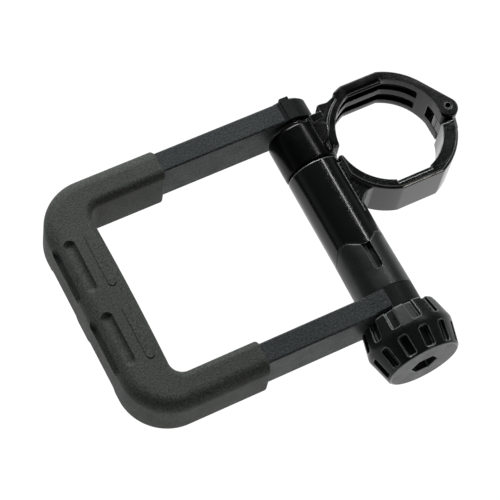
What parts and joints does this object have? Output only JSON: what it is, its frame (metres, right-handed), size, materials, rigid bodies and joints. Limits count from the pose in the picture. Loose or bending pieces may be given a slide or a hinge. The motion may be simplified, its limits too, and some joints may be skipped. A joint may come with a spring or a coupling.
{
  "type": "bail side handle",
  "caption": "Side handle for a rotary hammer: U-shaped bail with a soft grip on a hinged two-jaw collar clamp, locked by a bolt with a fluted knob.",
  "frame": {"origin": "centre of the collar on its own axis, at mid height", "axes": "+Z along the collar's axis, up; the hand grip lies towards -X; the clamp bolt is parallel to Y with its knob towards -Y"},
  "size_m": [0.2607, 0.1821, 0.0536],
  "materials": {
    "jaw_gloss": "gloss",
    "lug_gloss": "semi-gloss",
    "frame_nylon": "fine grained matt",
    "grip_rubber": "soft matt",
    "knob_plastic": "satin",
    "steel_zinc": "zinc plated",
    "steel_black": "black oxide",
    "spring_steel": "oiled"
  },
  "bodies": {
    "lower_jaw": {"lower_jaw": "jaw_gloss", "hinge_pin": "steel_black", "detent_sleeve": "frame_nylon", "jaw_spring": "spring_steel"},
    "upper_jaw": {"upper_jaw": "lug_gloss"},
    "bail": {"bail_frame": "frame_nylon", "grip_sleeve": "grip_rubber"},
    "bolt": {"clamp_bolt": "steel_zinc", "bolt_bush": "steel_zinc"},
    "knob": {"knob_body": "knob_plastic", "knob_nut": "steel_zinc", "thrust_washer": "steel_zinc"}
  },
  "joints": [
    {"name": "bail_swing", "type": "hinge", "parent": "lower_jaw", "child": "bail", "pos_m": [-0.0487, -0.03, 0], "axis": [0, 1, 0], "range_deg": [-90, 90]},
    {"name": "knob_turn", "type": "hinge", "parent": "lower_jaw", "child": "knob", "pos_m": [-0.0487, -0.12, 0], "axis": [0, 1, 0], "range_deg": [-340, 170]},
    {"name": "bolt_draw", "type": "slide", "parent": "lower_jaw", "child": "bolt", "axis": [0, -1, 0], "range_m": [-0.00142, 0.00071]},
    {"name": "jaw_close", "type": "hinge", "parent": "lower_jaw", "child": "upper_jaw", "pos_m": [0.0409, -0.0002, 0], "axis": [0, 0, 1], "range_deg": [-0.92, 0.46], "deforming": ["jaw_spring"]}
  ],
  "couplings": [
    {"joint": "bolt_draw", "follows": "knob_turn", "m_per_rad": 0.00023873},
    {"joint": "jaw_close", "follows": "knob_turn", "ratio": 0.0026644}
  ]
}
